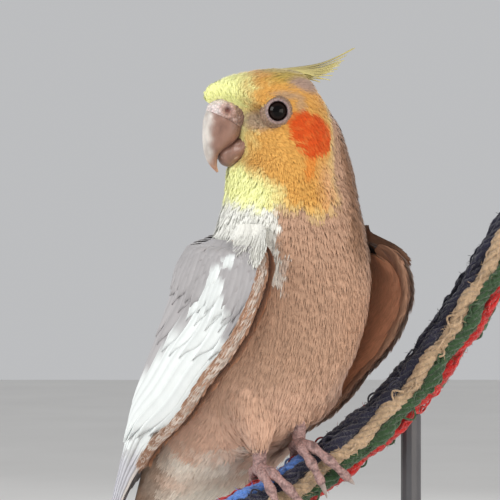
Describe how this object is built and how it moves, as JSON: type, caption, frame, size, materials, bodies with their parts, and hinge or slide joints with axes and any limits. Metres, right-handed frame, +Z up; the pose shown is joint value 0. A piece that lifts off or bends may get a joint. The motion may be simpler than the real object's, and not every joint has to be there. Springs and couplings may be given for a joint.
{
  "type": "cockatiel",
  "caption": "Life-size still cockatiel with its head turned, wings folded and long tail hanging, gripping a cut length of twisted rope on a plain display stand",
  "frame": {"origin": "centre of the underside of the stand's base, on the surface it stands on", "axes": "+Z up; -Y is the side from which the bird is seen; the bill points to -X and a little to -Y, the breast to -Y and +X, the tail to +Y and -X"},
  "size_m": [0.1911, 0.171, 0.2636],
  "materials": {
    "face_feathers": "soft matt feathers, lemon yellow, with an orange cheek patch",
    "body_feathers": "soft matt feathers, warm fawn grey with a white bib",
    "wing_feathers": "smooth vanes, lavender grey with a broad white patch",
    "tail_feathers": "smooth long vanes, pale lavender grey",
    "bill_horn": "satin horn, lilac brown",
    "claw_horn": "satin horn, pale",
    "bare_skin": "matt bare skin, pink grey, finely scaled on the toes",
    "eye": "wet gloss, nearly black",
    "rope_fibre": "twisted cotton strands in navy, green, red, beige and blue",
    "stand_paint": "satin dark grey paint"
  },
  "bodies": {
    "root": {"head": "face_feathers", "neck": "body_feathers", "torso": "body_feathers", "crest": "face_feathers", "cere": "bare_skin", "bill_upper": "bill_horn", "bill_lower": "bill_horn", "eye_left": "eye", "eye_right": "eye", "wing_left": "wing_feathers", "wing_right": "wing_feathers", "tail": "tail_feathers", "leg_left": "body_feathers", "leg_right": "body_feathers", "foot_left": "bare_skin", "foot_right": "bare_skin", "claw_left_1": "claw_horn", "claw_left_2": "claw_horn", "claw_left_3": "claw_horn", "claw_left_4": "claw_horn", "claw_right_1": "claw_horn", "claw_right_2": "claw_horn", "claw_right_3": "claw_horn", "claw_right_4": "claw_horn", "perch_rope": "rope_fibre", "stand_base": "stand_paint", "stand_rod_1": "stand_paint", "stand_rod_2": "stand_paint"}
  },
  "joints": []
}
